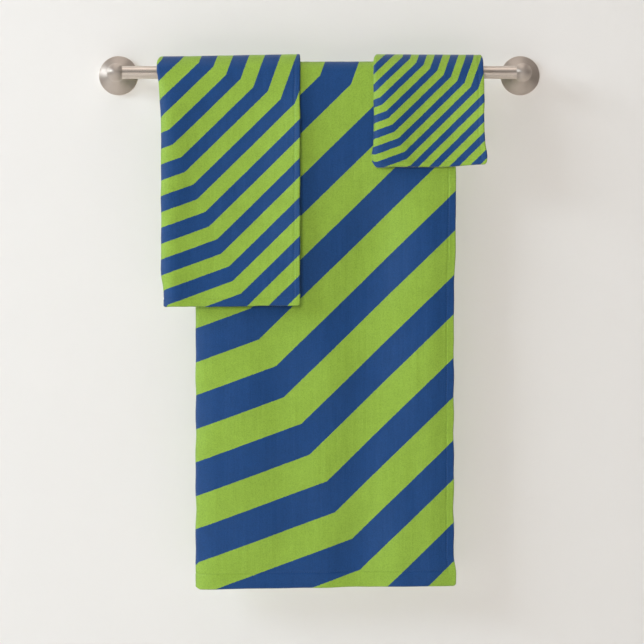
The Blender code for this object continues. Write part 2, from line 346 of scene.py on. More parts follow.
def thread_material(name, towel):
    """Thread sewn before the cloth was printed, so that it takes the same stripe."""
    n = Nodes(name)
    flat = n.add("ShaderNodeUVMap", uv_map="print").outputs["UV"]
    where = n.place()
    twist = n.add("ShaderNodeTexWave", {"Vector": where, "Scale": 1400.0, "Distortion": 1.5},
                  bands_direction="DIAGONAL").outputs["Fac"]
    base = n.mix(stripe_mask(n, flat, towel), colour(GREEN), colour(BLUE))
    shade = n.spread(twist, 0.0, 1.0, 0.78, 0.98)
    return n.set(Base_Color=n.scaled(base, shade), Roughness=n.spread(twist, 0.0, 1.0, 0.75, 0.5),
                 Normal=n.bump(twist, 0.0001), Sheen_Weight=0.1)


def label_material():
    """Satin tape, woven of fine thread."""
    n = Nodes("label_satin")
    where = n.place()
    warp = n.noise(n.stretch(where, (3500.0, 1.0, 250.0)), 1.0, 2.0)
    weft = n.noise(n.stretch(where, (200.0, 1.0, 4200.0)), 1.0, 2.0)
    weave = n.math("MULTIPLY_ADD", weft, 0.4, n.math("MULTIPLY", warp, 0.6))
    base = n.mix(weave, colour((0.74, 0.74, 0.72)), colour((0.88, 0.88, 0.86)))
    return n.set(Base_Color=base, Roughness=n.spread(weave, 0.3, 0.7, 0.5, 0.3),
                 Normal=n.bump(weave, 0.00008), Sheen_Weight=0.1)


ACROSS_GRAIN = 0.25
NICKEL_LIGHT = (0.71, 0.618, 0.54)
NICKEL_DARK = (0.57, 0.485, 0.42)
SATIN = 0.74
RINGS_PER_METRE = 2600.0


def satin(n, base, scratch, rough, anisotropic, tangent, depth):
    """Finishes a plated metal whose scratches draw its reflections out across the grain."""
    n.set(Metallic=SATIN, Anisotropic=anisotropic, Anisotropic_Rotation=ACROSS_GRAIN)
    if tangent is not None:
        along = n.add("ShaderNodeTangent", direction_type="RADIAL", axis=tangent)
        n.set(Tangent=along.outputs[0])
    return n.set(Base_Color=base, Roughness=n.spread(scratch, 0.25, 0.75, *rough),
                 Normal=n.bump(scratch, depth))


def brushed_metal(name, grain, light=NICKEL_LIGHT, dark=NICKEL_DARK, rough=(0.24, 0.38),
                  anisotropic=0.0, tangent=None):
    """Satin plated metal. grain stretches the scratch noise, so that it runs along the finish."""
    n = Nodes(name)
    where = n.place()
    scratch = n.noise(n.stretch(where, grain), 1.0, 5.0, 0.7)
    cloud = n.noise(where, 45.0, 3.0)
    base = n.mix(n.math("MULTIPLY_ADD", scratch, 0.6, n.math("MULTIPLY", cloud, 0.4)),
                 colour(dark), colour(light))
    return satin(n, base, scratch, rough, anisotropic, tangent, 0.000012)


def radial_metal(name):
    """The turned finish of a post: fine rings round its axis, which runs out of the wall."""
    n = Nodes(name)
    where = n.place()
    apart = n.add("ShaderNodeSeparateXYZ", {0: where})
    flat = n.add("ShaderNodeCombineXYZ", {"X": apart.outputs["X"], "Z": apart.outputs["Z"]})
    radius = n.add("ShaderNodeVectorMath", {0: flat.outputs[0]}, operation="LENGTH")
    rings = n.add("ShaderNodeCombineXYZ",
                  {"X": n.math("MULTIPLY", radius.outputs["Value"], RINGS_PER_METRE),
                   "Y": n.math("MULTIPLY", apart.outputs["Y"], RINGS_PER_METRE)})
    scratch = n.noise(rings.outputs[0], 1.0, 4.0, 0.7)
    cloud = n.noise(where, 60.0, 3.0)
    base = n.mix(n.math("MULTIPLY_ADD", scratch, 0.5, n.math("MULTIPLY", cloud, 0.5)),
                 colour(NICKEL_DARK), colour(NICKEL_LIGHT))
    return satin(n, base, scratch, (0.42, 0.54), 0.92, "Y", 0.00001)


def plastic_material():
    """Moulded nylon, faintly grained."""
    n = Nodes("anchor_nylon")
    where = n.place()
    grain = n.noise(where, 900.0, 3.0)
    base = n.mix(grain, colour((0.62, 0.62, 0.60)), colour((0.72, 0.72, 0.70)))
    return n.set(Base_Color=base, Roughness=n.spread(grain, 0.3, 0.7, 0.42, 0.6),
                 Normal=n.bump(grain, 0.00004), Subsurface_Weight=0.05)


# ---- Towels ----

EDGE_ROUND = 0.0014
CORNER_ROUND = 0.0050
LAYER_GAP = 0.0004
INNER_INSET = 0.0040
NAP = (0.00010, 0.012)
HEM_RAISE = 0.00035
HEM_EDGE = 0.0015
HEM_FLAT_OVER_BAR = (0.0, 0.020)
SEAM_DEPTH = 0.00050
SEAM_WIDTH = 0.0013
# The bar presses the fold flatter by this share, less and less over these distances down, and the
# fold's puff dies away over its reach across the towel. Its lower corner is drawn up in a curve.
FOLD_PRESS = 0.85
FOLD_PRESSED = (0.060, 0.015)
FOLD_REACH = 0.020
FOLD_CORNER = 0.0085
FOLD_CORNER_DROP = 0.030
TOP_CORNER_REACH = 0.007
TOP_CORNER_POWER = 6
# How far round a bend, in radians, the print still looks straight from in front.
PRINT_TURN = 1.2
GRID_MARGIN = 0.004
GRID_COARSE = 0.0065
GRID_FINE_ACROSS = 0.0010
GRID_FINE_ALONG = 0.0012
SLOPE_STEP = 0.0004


def stretched(angle, radius):
    """The distance round a bend as it looks from in front, up to where it turns well away, and
    its true length behind that."""
    seen = np.minimum(angle, PRINT_TURN)
    slanting = np.clip(angle - PRINT_TURN, 0.0, math.pi / 2 - PRINT_TURN)
    behind = np.maximum(angle - math.pi / 2, 0.0)
    return radius * (np.sin(seen) + math.cos(PRINT_TURN) * slanting + behind)


class Towel:
    """One folded towel. w runs across the sheet in metres, from the right-hand edge of the outer
    layer to the fold at the left and back along the inner layer. s runs along it, from the front
    end up over the bar and down to the back end.

    Each kind of towel has its own sway, how far a drop stands out from the bar at x and this far
    down, edge_shift, how far its sides stray in x, and end_shift, how far its ends stray in z.
    facing is -1 on the front drop and 1 on the back."""

    def __init__(self, name, spec):
        low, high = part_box(f"{name}_cloth")
        self.name = name
        self.spec = spec
        self.left, self.right = low.x, high.x
        self.hem, self.side = spec["hem"], spec["side"]
        self.layer, self.puff = spec["layer"], spec["puff"]
        self.outer = (high.y - low.y) / 2
        self.front = self.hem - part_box(f"{name}_front_hem_thread")[0].z
        self.back = self.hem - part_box(f"{name}_back_hem_thread")[0].z
        self.stack = 2 * self.layer + LAYER_GAP
        self.over = math.pi * (self.outer + high.z) / 2
        self.length = self.front + self.over + self.back
        self.across = self.right - self.left - self.outside_of_fold()
        self.turn = math.pi * self.puff
        self.width = 2 * self.across + self.turn - INNER_INSET

    def outside_of_fold(self):
        return self.puff + self.layer / 2

    def round_fold(self, w):
        """How far w is before the fold, how far round it in radians, and how far beyond it."""
        angle = np.clip((w - self.across) / self.puff, 0.0, math.pi)
        beyond = np.maximum(w - self.across - self.turn, 0.0)
        before = np.maximum(self.across - w, 0.0)
        return before, angle, beyond

    def round_bar(self, s):
        """How far round the bar s is, in radians from the front."""
        return np.clip((s - self.front) / self.over, 0.0, 1.0) * math.pi

    def rise(self, x):
        """How far the top stands above the CAD solid."""
        part = np.clip((x - self.left) / (self.right - self.left), 0.0, 1.0)
        low_rise, high_rise = self.spec["rise"]
        return low_rise + (high_rise - low_rise) * part

    def near_left(self, x, width):
        return smooth(self.left + width, self.left, x)

    def near_right(self, x, width):
        return smooth(self.right - width, self.right, x)

    def share_across(self, x):
        return (x - self.left) / (self.right - self.left)

    def lifted(self, x):
        """1 at the right-hand edge, dying away over the width of its flare."""
        inside = np.clip((x - self.right + self.FLARE_WIDTH) / self.FLARE_WIDTH, 0.0, 1.0)
        return inside**self.FLARE_POWER

    def section(self, w, down=math.inf):
        """Where the sheet's middle lies at w: (x, distance outwards from the middle of the stack).
        Over the bar, where down is small, the towel's weight presses the fold flatter."""
        before, angle, beyond = self.round_fold(w)
        x = self.left + self.outside_of_fold() + before + beyond - self.puff * np.sin(angle)
        flat_half = (self.layer + LAYER_GAP) / 2
        puffed = (self.puff - flat_half) * (1.0 - FOLD_PRESS * smooth(*FOLD_PRESSED, down))
        half = flat_half + curled(puffed, FOLD_REACH, before + beyond)
        return x, half * np.cos(angle)

    def middle(self, w, s):
        """The middle of the sheet at (w, s), as an array with x, y, z last."""
        w, s = self.round_corners(w, s)
        down = np.maximum(np.maximum(self.front - s, s - self.front - self.over), 0.0)
        x, out = self.section(w, down)
        depth = self.outer - self.stack / 2
        height = depth + self.rise(x)
        angle = self.round_bar(s)
        y = -(depth + out) * np.cos(angle)
        z = (height + out) * np.sin(angle) - down
        facing = np.where(angle < math.pi / 2, -1.0, 1.0)
        y = y + facing * self.sway(x, down, facing)
        x = x + self.edge_shift(x, down, facing) + self.top_corners(x, angle)
        z = z + self.end_shift(x, down, facing)
        return np.stack([x, BAR_CENTRE.y + y, z + 0.0 * x], axis=-1)

    def round_corners(self, w, s):
        """Pulls the sheet's four corners in to an arc."""
        from_w = np.minimum(w, self.width - w)
        from_s = np.minimum(s, self.length - s)
        dw = np.maximum(CORNER_ROUND - from_w, 0.0)
        ds = np.maximum(CORNER_ROUND - from_s, 0.0)
        reach = np.hypot(dw, ds)
        share = np.where(reach > 0, np.maximum(dw, ds) / np.maximum(reach, HAIR), 1.0)
        new_w = np.where(w < self.width / 2, w + dw * (1 - share), w - dw * (1 - share))
        new_s = np.where(s < self.length / 2, s + ds * (1 - share), s - ds * (1 - share))
        return new_w, new_s

    def top_corners(self, x, angle):
        """How far the edges are drawn in at the top of the bend, which rounds its corners."""
        left, right = self.spec["drawn_in"]
        near = curled(left, TOP_CORNER_REACH, x - self.left)
        near = near - curled(right, TOP_CORNER_REACH, self.right - x)
        return near * np.sin(angle) ** TOP_CORNER_POWER

    def fold_corner(self, x, down):
        """How far the folded corner at the end of a drop is drawn up, to round it."""
        inside = np.clip(FOLD_CORNER - (x - self.left), 0.0, FOLD_CORNER)
        drawn = FOLD_CORNER - np.sqrt(FOLD_CORNER**2 - inside**2)
        return drawn * smooth(self.front - FOLD_CORNER_DROP, self.front, down)

    def face(self, w, s, side):
        """A face of the sheet, with its normals: side 1 is the printed face and -1 the reverse."""
        centre = self.middle(w, s)
        along_w = self.middle(w + SLOPE_STEP, s) - self.middle(w - SLOPE_STEP, s)
        along_s = self.middle(w, s + SLOPE_STEP) - self.middle(w, s - SLOPE_STEP)
        normal = np.cross(along_s, along_w)
        normal = normal / np.maximum(np.linalg.norm(normal, axis=-1, keepdims=True), 1e-12)
        half = self.half_thickness(w, s)
        return centre + side * normal * half[..., None], normal * side

    def half_thickness(self, w, s):
        """Half the sheet's thickness: rounded to nothing at a cut edge, raised along each turned
        hem, except over the bar, and drawn in along the seam that holds it."""
        end = np.minimum(s, self.length - s)
        side = np.minimum(w, self.width - w)
        edge = np.clip(np.minimum(end, side) / EDGE_ROUND, 0.0, 1.0)
        rounding = np.sqrt(1.0 - (1.0 - edge) ** 2)
        in_hem = np.maximum(smooth(self.hem, self.hem - HEM_EDGE, end),
                            smooth(self.side, self.side - HEM_EDGE, side))
        seam = np.maximum(
            bump(self.hem, SEAM_WIDTH, end) * smooth(self.side * 0.5, self.side, side),
            bump(self.side, SEAM_WIDTH, side) * smooth(self.hem * 0.5, self.hem, end),
        )
        down = np.maximum(self.front - s, s - self.front - self.over)
        in_hem = in_hem * smooth(*HEM_FLAT_OVER_BAR, down)
        nap = NAP[0] * ripple(3, NAP[1], w, s)
        return (self.layer / 2 + HEM_RAISE * in_hem - SEAM_DEPTH * seam + nap) * rounding

    def flat_coordinates(self, w, s):
        """Where a point lies on the flat cloth: x across it, and z up it."""
        across = self.right - w + 0.0 * s
        up = s - self.front + 0.0 * w
        return np.stack([across, up], axis=-1)

    def print_coordinates(self, w, s):
        """Where a point lies on the printed design. Where the cloth turns away over the bar and
        round the fold, the design is stretched a little, so that its stripes look straight."""
        x, _ = self.section(w)
        before, bend, beyond = self.round_fold(w)
        edge = self.outside_of_fold()
        across = self.left + edge + before - beyond - stretched(bend, edge)
        angle = self.round_bar(s)
        down = np.maximum(self.front - s, 0.0)
        past = np.maximum(s - self.front - self.over, 0.0)
        up = stretched(angle, self.outer + self.rise(x)) - down + past
        front = smooth(math.pi / 2, PRINT_TURN / 2, angle)
        across = across + front * (self.edge_shift(x, down, -1.0) + self.top_corners(x, angle))
        up = up + front * self.end_shift(x, down, -1.0)
        return np.stack([across, up], axis=-1)

    def lines(self):
        """The mesh's lines in w and in s, close together at the hems and where the cloth bends."""
        fold = (self.across, self.across + self.turn)
        bar = (self.front, self.front + self.over)
        for length, hem, bend, fine in ((self.width, self.side, fold, GRID_FINE_ACROSS),
                                        (self.length, self.hem, bar, GRID_FINE_ALONG)):
            zone = hem + GRID_MARGIN
            zones = ((0.0, zone), (bend[0] - GRID_MARGIN, bend[1] + GRID_MARGIN),
                     (length - zone, length))
            yield spaced(0.0, length, zones, fine, GRID_COARSE)

    def build(self):
        """The sheet as one closed mesh, whose printed face and reverse meet at the cut edges."""
        w_lines, s_lines = self.lines()
        w, s = np.meshgrid(w_lines, s_lines, indexing="ij")
        rows, columns = w.shape
        printed, _ = self.face(w, s, 1.0)
        reverse, _ = self.face(w, s, -1.0)
        index = np.arange(rows * columns).reshape(rows, columns)
        inside = np.zeros((rows, columns), bool)
        inside[1:-1, 1:-1] = True
        under = index.copy()
        under[inside] = rows * columns + np.arange(inside.sum())
        vertices = np.concatenate([printed.reshape(-1, 3), reverse[inside]])
        quad = lambda grid: np.stack(
            [grid[:-1, :-1], grid[:-1, 1:], grid[1:, 1:], grid[1:, :-1]], axis=-1
        ).reshape(-1, 4)
        faces = np.concatenate([quad(index), quad(under)[:, ::-1]])
        obj = add_mesh(f"{self.name}_terry", vertices, faces)
        for layer, grid in (("flat", self.flat_coordinates(w, s)),
                            ("print", self.print_coordinates(w, s))):
            paint_flat(obj.data, layer, np.concatenate([grid.reshape(-1, 2), grid[inside]]))
        obj.data.materials.append(terry_material(f"{self.name}_print", self.spec, True))
        obj.data.materials.append(terry_material(f"{self.name}_reverse", self.spec, False))
        slots = np.zeros(len(faces), np.int32)
        slots[len(quad(index)):] = 1
        obj.data.polygons.foreach_set("material_index", slots)
        return obj


class BathTowel(Towel):
    # Ramps are (most, start, end) or (start, end), across or down. Curls are (most, reach).
    CURLS = ((-0.0115, 0.0150), (-0.0028, 0.045))
    CURL_DOWN = (0.012, 0.055)
    LOOSE_DOWN = (0.10, 0.26)
    LEFT_DIP = (-0.0040, -0.120, -0.060)
    TROUGH = (-0.0080, 0.006, 0.068)
    RIDGE = (0.0122, 0.068, 0.138)
    RIGHT_TURN = (-0.0060, 0.158, 0.199)
    DRIFT = (0.0018, 0.10, 0.40)
    FOOT_FLARE = (0.0038, 0.715, 0.745)
    END_DOWN = (0.55, 0.76)

    def sway(self, x, down, facing):
        """The fold curls back at the left, a shallow trough runs down the middle beside a ridge,
        and the right-hand edge turns back again."""
        curl = sum(curled(*each, x - self.left) for each in self.CURLS)
        loose = smooth(*self.LOOSE_DOWN, down)
        at = x - (0.014 * bump(0.20, 0.07, down) + 0.006 * ripple(41, 0.22, down))
        swell = 0.85 + 0.45 * bump(0.24, 0.08, down) + 0.10 * ripple(42, 0.20, down)
        wave = ramp(*self.LEFT_DIP, x) + swell * (ramp(*self.RIDGE, at) + ramp(*self.TROUGH, at))
        wave = wave + ramp(*self.RIGHT_TURN, x)
        drift = ramp(*self.DRIFT, down) * (ripple(11, 0.14, x, down) - 1.2)
        front = curl * smooth(*self.CURL_DOWN, down) + loose * wave + drift
        back = loose * (0.3 * wave + 0.2 * curl + 0.0010 * (ripple(5, 0.2, x, down) - 1.5))
        return np.where(facing < 0, front, back)

    def edge_shift(self, x, down, facing):
        """The right-hand edge bows out a little, and flares at its foot."""
        flare = -0.0010 + 0.0034 * bump(0.20, 0.10, down) + ramp(*self.FOOT_FLARE, down)
        wander = 0.0005 * ripple(21, 0.09, down)
        right = self.near_right(x, 0.05) * (flare * (facing < 0) + wander)
        return right - self.near_left(x, 0.04) * wander

    def end_shift(self, x, down, facing):
        """The end rises a little to the right."""
        uneven = 0.0046 * self.share_across(x) - 0.0014 * self.near_left(x, 0.09)
        uneven = uneven + 0.0004 * ripple(31, 0.07, x)
        return smooth(*self.END_DOWN, down) * uneven + self.fold_corner(x, down)


class HandTowel(Towel):
    CURL = (-0.0080, 0.0085)
    CURL_DOWN = (0.0, 0.03)
    ROLL_ACROSS = (0.018, 0.015)
    ROLL_DOWN = (0.0028, 0.02, 0.12)
    FLARE_WIDTH, FLARE_POWER = 0.068, 1.7
    FLARE_DOWN = (0.0115, 0.0, 0.08)
    LIFT_DOWN = (0.0080, 0.0, 0.04)
    LIFT_WIDTH = 0.080
    WAVE_DOWN = (0.0011, 0.02, 0.20)
    KICK_DOWN = (0.0065, 0.25, 0.34)
    FOOT_DOWN = (0.0038, 0.292, 0.326)
    TOP_CORNER = (-0.0066, 0.030)
    END_DOWN = (0.26, 0.35)

    def sway(self, x, down, facing):
        """The fold curls back at the left beside a slight roll, the right-hand edge stands away
        from the bath towel, and the foot kicks out between them."""
        curl = curled(*self.CURL, x - self.left) * smooth(*self.CURL_DOWN, down)
        at, width = self.ROLL_ACROSS
        roll = ramp(*self.ROLL_DOWN, down) * bump(self.left + at, width, x)
        lifted = self.lifted(x)
        flare = ramp(*self.FLARE_DOWN, down) * lifted
        lift = ramp(*self.LIFT_DOWN, down) * self.near_left(x, self.LIFT_WIDTH)
        wave = ramp(*self.WAVE_DOWN, down) * (1.2 + ripple(12, 0.12, x, down))
        free = (1.0 - lifted) * smooth(self.left - 0.040, self.left + 0.090, x)
        front = curl + roll + lift + flare + wave + ramp(*self.KICK_DOWN, down) * free
        back = 0.3 * curl + roll + 0.3 * lift + wave
        return np.where(facing < 0, front, back)

    def edge_shift(self, x, down, facing):
        """The fold bows out at the top, and comes in at its foot."""
        wander = 0.0005 * ripple(22, 0.08, down)
        left = curled(*self.TOP_CORNER, down) + ramp(*self.FOOT_DOWN, down) + wander
        return self.near_left(x, 0.06) * left + self.near_right(x, 0.04) * wander

    def end_shift(self, x, down, facing):
        """The end rises a little to the right."""
        uneven = 0.0022 * self.share_across(x) + 0.0005 * ripple(32, 0.06, x)
        return smooth(*self.END_DOWN, down) * uneven + self.fold_corner(x, down)


class WashCloth(Towel):
    CURL = (-0.0100, 0.0110)
    CURL_DOWN = (0.0, 0.03)
    ROLL_ACROSS = (0.0090, 0.085, 0.006)
    FLARE_WIDTH, FLARE_POWER = 0.050, 1.35
    FLARE_DOWN = (0.0120, 0.0, 0.05)
    KICK_DOWN = (0.0015, 0.08, 0.14)
    WAVE_DOWN = (0.0008, 0.01, 0.08)
    FOOT_DOWN = (0.095, 0.135)
    TOP_CORNER = (0.0010, 0.012)
    END_DOWN = (0.08, 0.14)

    def sway(self, x, down, facing):
        """The fold curls back at the left from a slight roll, and the right-hand edge stands away
        from the bath towel."""
        starts = smooth(*self.CURL_DOWN, down)
        in_from_left = x - self.left
        curl = curled(*self.CURL, in_from_left) * starts
        roll = ramp(*self.ROLL_ACROSS, in_from_left) * starts
        lifted = self.lifted(x)
        flare = ramp(*self.FLARE_DOWN, down) * lifted
        flare = flare + ramp(*self.KICK_DOWN, down) * (1.0 - lifted)
        wave = ramp(*self.WAVE_DOWN, down) * (1.2 + ripple(13, 0.10, x, down))
        return np.where(facing < 0, curl + roll + flare + wave, 0.2 * flare + wave)

    def edge_shift(self, x, down, facing):
        """Both edges flare at the foot."""
        low = smooth(*self.FOOT_DOWN, down)
        wander = 0.0005 * ripple(23, 0.06, down)
        right = 0.0036 * low - curled(*self.TOP_CORNER, down) + wander
        return self.near_right(x, 0.04) * right - self.near_left(x, 0.04) * (0.0024 * low + wander)

    def end_shift(self, x, down, facing):
        """The end rises at the right and dips at the left."""
        across = self.share_across(x)
        uneven = 0.0034 * smooth(0.6, 1.0, across) - 0.0015 * smooth(0.2, 0.0, across)
        return smooth(*self.END_DOWN, down) * uneven + self.fold_corner(x, down)


KINDS = {"bath_towel": BathTowel, "hand_towel": HandTowel, "wash_cloth": WashCloth}


# ---- Seams and labels ----

STITCH_RADIUS = 0.00034
STITCH_SHARE = (0.14, 0.86)
STITCH_RINGS = np.array((0.0, 0.16, 0.5, 0.84, 1.0))
STITCH_SWELL = np.array((0.25, 0.85, 1.0, 0.85, 0.25))
STITCH_SIDES = 6


def stitches(name, towel, seams):
    """Short stitches lying in a seam's groove. Each seam is (start, end), both as (w, s)."""
    length = towel.spec["stitch"]
    lines = np.concatenate([stitch_lines(np.array(a), np.array(b), length) for a, b in seams])
    w, s = lines[..., 0], lines[..., 1]
    centre, normal = towel.face(w, s, 1.0)
    sink = STITCH_RADIUS * (1.0 - 2.0 * np.sin(np.pi * STITCH_RINGS))
    centre = centre - normal * sink[None, :, None]
    ahead = centre[:, -1:] - centre[:, :1]
    ahead = ahead / np.linalg.norm(ahead, axis=-1, keepdims=True)
    beside = np.cross(np.broadcast_to(ahead, normal.shape), normal)
    turn = 2.0 * np.pi * np.arange(STITCH_SIDES) / STITCH_SIDES
    ring = np.cos(turn)[:, None] * normal[:, :, None] + np.sin(turn)[:, None] * beside[:, :, None]
    swell = (STITCH_RADIUS * STITCH_SWELL)[None, :, None, None]
    vertices = (centre[:, :, None] + swell * ring).reshape(-1, 3)
    each = []
    for step in range(len(STITCH_RINGS) - 1):
        for k in range(STITCH_SIDES):
            a = step * STITCH_SIDES + k
            b = step * STITCH_SIDES + (k + 1) % STITCH_SIDES
            each.append((a, b, b + STITCH_SIDES, a + STITCH_SIDES))
    last = (len(STITCH_RINGS) - 1) * STITCH_SIDES
    caps = [tuple(reversed(range(STITCH_SIDES))), tuple(last + k for k in range(STITCH_SIDES))]
    size = len(STITCH_RINGS) * STITCH_SIDES
    faces = [[v + size * i for v in face] for i in range(len(lines)) for face in each + caps]
    obj = add_mesh(name, vertices, faces)
    printed = np.repeat(towel.print_coordinates(w, s).reshape(-1, 2), STITCH_SIDES, axis=0)
    paint_flat(obj.data, "print", printed)
    obj.data.materials.append(bpy.data.materials[f"{towel.name}_thread"])
    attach(obj, towel.name)
    return obj


def stitch_lines(start, end, length):
    """Points along each stitch of a seam, as (stitch, ring, w and s)."""
    count = max(2, int(np.linalg.norm(end - start) / length))
    share = STITCH_SHARE[0] + (STITCH_SHARE[1] - STITCH_SHARE[0]) * STITCH_RINGS
    along = (np.arange(count)[:, None] + share[None, :]) / count
    return start + (end - start) * along[..., None]


def paint_flat(mesh, name, flat):
    """Lays coordinates, one pair for each vertex, on a mesh as a UV map."""
    corners = np.empty(len(mesh.loops), np.int32)
    mesh.loops.foreach_get("vertex_index", corners)
    layer = mesh.uv_layers.new(name=name)
    layer.data.foreach_set("uv", flat[corners].astype(np.float32).reshape(-1))


def make_seams(towel):
    """The end hems are sewn right across the cloth, and both long edges along their length."""
    name, side, hem = towel.name, towel.side, towel.hem
    top = towel.length - hem
    far = towel.width - side
    made = {
        "front_hem": [((side, hem), (far, hem))],
        "back_hem": [((side, top), (far, top))],
        "side_hem": [((edge, hem), (edge, top)) for edge in (side, far)],
    }
    pieces = []
    for kind, seams in made.items():
        piece = stitches(f"{name}_{kind}_stitches", towel, seams)
        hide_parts(f"{name}_{kind}_thread")
        pieces.append(piece)
    return pieces


LABEL_ROWS, LABEL_COLUMNS = 34, 14
LABEL_TAPE = 0.00025
LABEL_TURN = 0.0006
LABEL_LIFT = 0.0022
LABEL_CLEAR, LABEL_CUP = 0.0012, 0.0010
LABEL_CREASE = 14.0


def make_label(towel):
    """A blank satin care label: tape doubled over at its foot, sewn to the cloth along its top
    edge and a little away from it below."""
    node = f"{towel.name}_care_label"
    low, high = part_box(node)
    run = np.linspace(0.0, 2.0, LABEL_ROWS + 1)[:, None]
    across = np.linspace(0.0, 1.0, LABEL_COLUMNS + 1)[None, :]
    up = np.abs(1.0 - run)
    x = low.x + (high.x - low.x) * across
    z = low.z + (high.z - low.z) * up
    w, s = np.broadcast_arrays(towel.right - x, towel.front + towel.over - z)
    face, normal = towel.face(w, s, 1.0)
    loose = 1.0 - up
    turned = LABEL_TURN * np.sign(1.0 - run) * np.minimum(1.0, up * LABEL_CREASE)
    lift = LABEL_CLEAR + LABEL_LIFT * loose**2 + LABEL_CUP * (2 * across - 1) ** 2 * loose
    vertices = (face + normal * (lift + turned)[..., None]).reshape(-1, 3)
    index = np.arange(vertices.shape[0]).reshape(LABEL_ROWS + 1, LABEL_COLUMNS + 1)
    faces = np.stack([index[:-1, :-1], index[:-1, 1:], index[1:, 1:], index[1:, :-1]], axis=-1)
    obj = add_mesh(f"{towel.name}_label", vertices, faces.reshape(-1, 4))
    obj.data.materials.append(bpy.data.materials["label_satin"])
    thick = obj.modifiers.new("Tape", "SOLIDIFY")
    thick.thickness = LABEL_TAPE
    thick.offset = 0.0
    freeze(obj)
    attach(obj, towel.name)
    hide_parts(node)
    return obj


def freeze(obj):
    """Applies an object's modifiers to its mesh."""
    graph = bpy.context.evaluated_depsgraph_get()
    mesh = bpy.data.meshes.new_from_object(obj.evaluated_get(graph), depsgraph=graph)
    old = obj.data
    obj.modifiers.clear()
    obj.data = mesh
    bpy.data.meshes.remove(old)


# ---- Rail ----

TURN_SEGMENTS = 96
MERGE_DISTANCE = 0.00001
SHARP_ANGLE = math.radians(32.0)


def lathe(name, profile):
    """A turned solid round the Y axis, from (radius, y) points. Ends on the axis close it."""
    bm = bmesh.new()
    points = [bm.verts.new((r, y, 0.0)) for r, y in profile]
    edges = [bm.edges.new(pair) for pair in zip(points, points[1:])]
    bmesh.ops.spin(bm, geom=points + edges, cent=(0, 0, 0), axis=(0, 1, 0),
                   angle=2 * math.pi, steps=TURN_SEGMENTS, use_merge=True)
    bmesh.ops.remove_doubles(bm, verts=bm.verts[:], dist=MERGE_DISTANCE)
    bmesh.ops.recalc_face_normals(bm, faces=bm.faces[:])
    return add_object(name, mesh_from(bm, name))


def shade(obj):
    obj.data.shade_smooth()
    obj.data.set_sharp_from_angle(angle=SHARP_ANGLE)


def arc(centre, radius, start, end, steps):
    """Points (radius, y) round a centre, between two angles in degrees."""
    turn = np.radians(np.linspace(start, end, steps + 1))
    return [(centre[0] + radius * math.cos(t), centre[1] + radius * math.sin(t)) for t in turn]


def cut_away(obj, radius, length, matrix, segments=48):
    bm = bmesh.new()
    bmesh.ops.create_cone(bm, cap_ends=True, segments=segments, radius1=radius, radius2=radius,
                          depth=length, matrix=matrix)
    mesh = mesh_from(bm, "tool")
    tool = add_object("tool", mesh)
    boolean = obj.modifiers.new("Cut", "BOOLEAN")
    boolean.operation = "DIFFERENCE"
    boolean.solver = "EXACT"
    boolean.object = tool
    freeze(obj)
    bpy.data.objects.remove(tool)
    bpy.data.meshes.remove(mesh)


HEAD_RADIUS = 0.0135
NECK_RADIUS = 0.0105
BELL_RADIUS = 0.0270
FLANGE_HEIGHT = 0.0080
FLANGE_STEP = 0.0016
FLARE_START = 0.0300
FLARE_POWER = 2.4
FLANGE_EDGE = 0.0010
CAVITY_RADIUS = 0.0255
CAVITY_DEPTH = 0.0095
SOCKET_CLEARANCE = 0.0003


def post_profile(flange_radius):
    """From the tip of the round head, down the flare to the flange, and into the hollow behind it.
    y counts out of the wall, so it is negative."""
    reach = -BAR_CENTRE.y
    neck_drop = math.sqrt(HEAD_RADIUS**2 - NECK_RADIUS**2)
    neck_angle = math.degrees(math.atan2(neck_drop, NECK_RADIUS))
    points = arc((0.0, -reach), HEAD_RADIUS, -90.0, neck_angle, 22)
    points[0] = (0.0, -reach - HEAD_RADIUS)
    base = FLANGE_HEIGHT + FLANGE_STEP
    for share in np.linspace(0.0, 1.0, 31):
        radius = NECK_RADIUS + (BELL_RADIUS - NECK_RADIUS) * share**FLARE_POWER
        points.append((radius, -(FLARE_START + (base - FLARE_START) * share)))
    points += arc((BELL_RADIUS + 0.0005, -FLANGE_HEIGHT - 0.0005), 0.0005, 180.0, 90.0, 3)
    points += arc((flange_radius - FLANGE_EDGE, -FLANGE_HEIGHT + FLANGE_EDGE), FLANGE_EDGE,
                  -90.0, 0.0, 6)
    points += [
        (flange_radius, WALL_PLANE), (CAVITY_RADIUS, WALL_PLANE), (CAVITY_RADIUS, -CAVITY_DEPTH),
        (0.0, -CAVITY_DEPTH),
    ]
    return points


def make_post(side):
    node = f"{side}_post"
    low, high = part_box(node)
    centre_x = (low.x + high.x) / 2
    flange_radius = (high.z - low.z) / 2
    post = lathe(f"{side}_post_turned", post_profile(flange_radius))
    toward_middle = -math.copysign(1.0, centre_x)
    bar_end = BAR_LENGTH / 2 + SOCKET_CLEARANCE
    socket_from_centre = abs(centre_x) - bar_end
    length = 2 * HEAD_RADIUS
    place = Vector((toward_middle * (socket_from_centre + length / 2), BAR_CENTRE.y, 0.0))
    cut_away(post, BAR_RADIUS + SOCKET_CLEARANCE, length,
             Matrix.Translation(place) @ Matrix.Rotation(math.pi / 2, 4, "Y"))
    screw_low, screw_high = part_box(f"{side}_set_screw")
    hole_y = (screw_low.y + screw_high.y) / 2
    cut_away(post, (screw_high.x - screw_low.x) / 2 + SOCKET_CLEARANCE, 0.010,
             Matrix.Translation((0.0, hole_y, -flange_radius)), 24)
    shade(post)
    post.data.materials.append(bpy.data.materials["post_nickel"])
    post.location = (centre_x, 0.0, 0.0)
    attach(post, "rail")
    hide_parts(node)


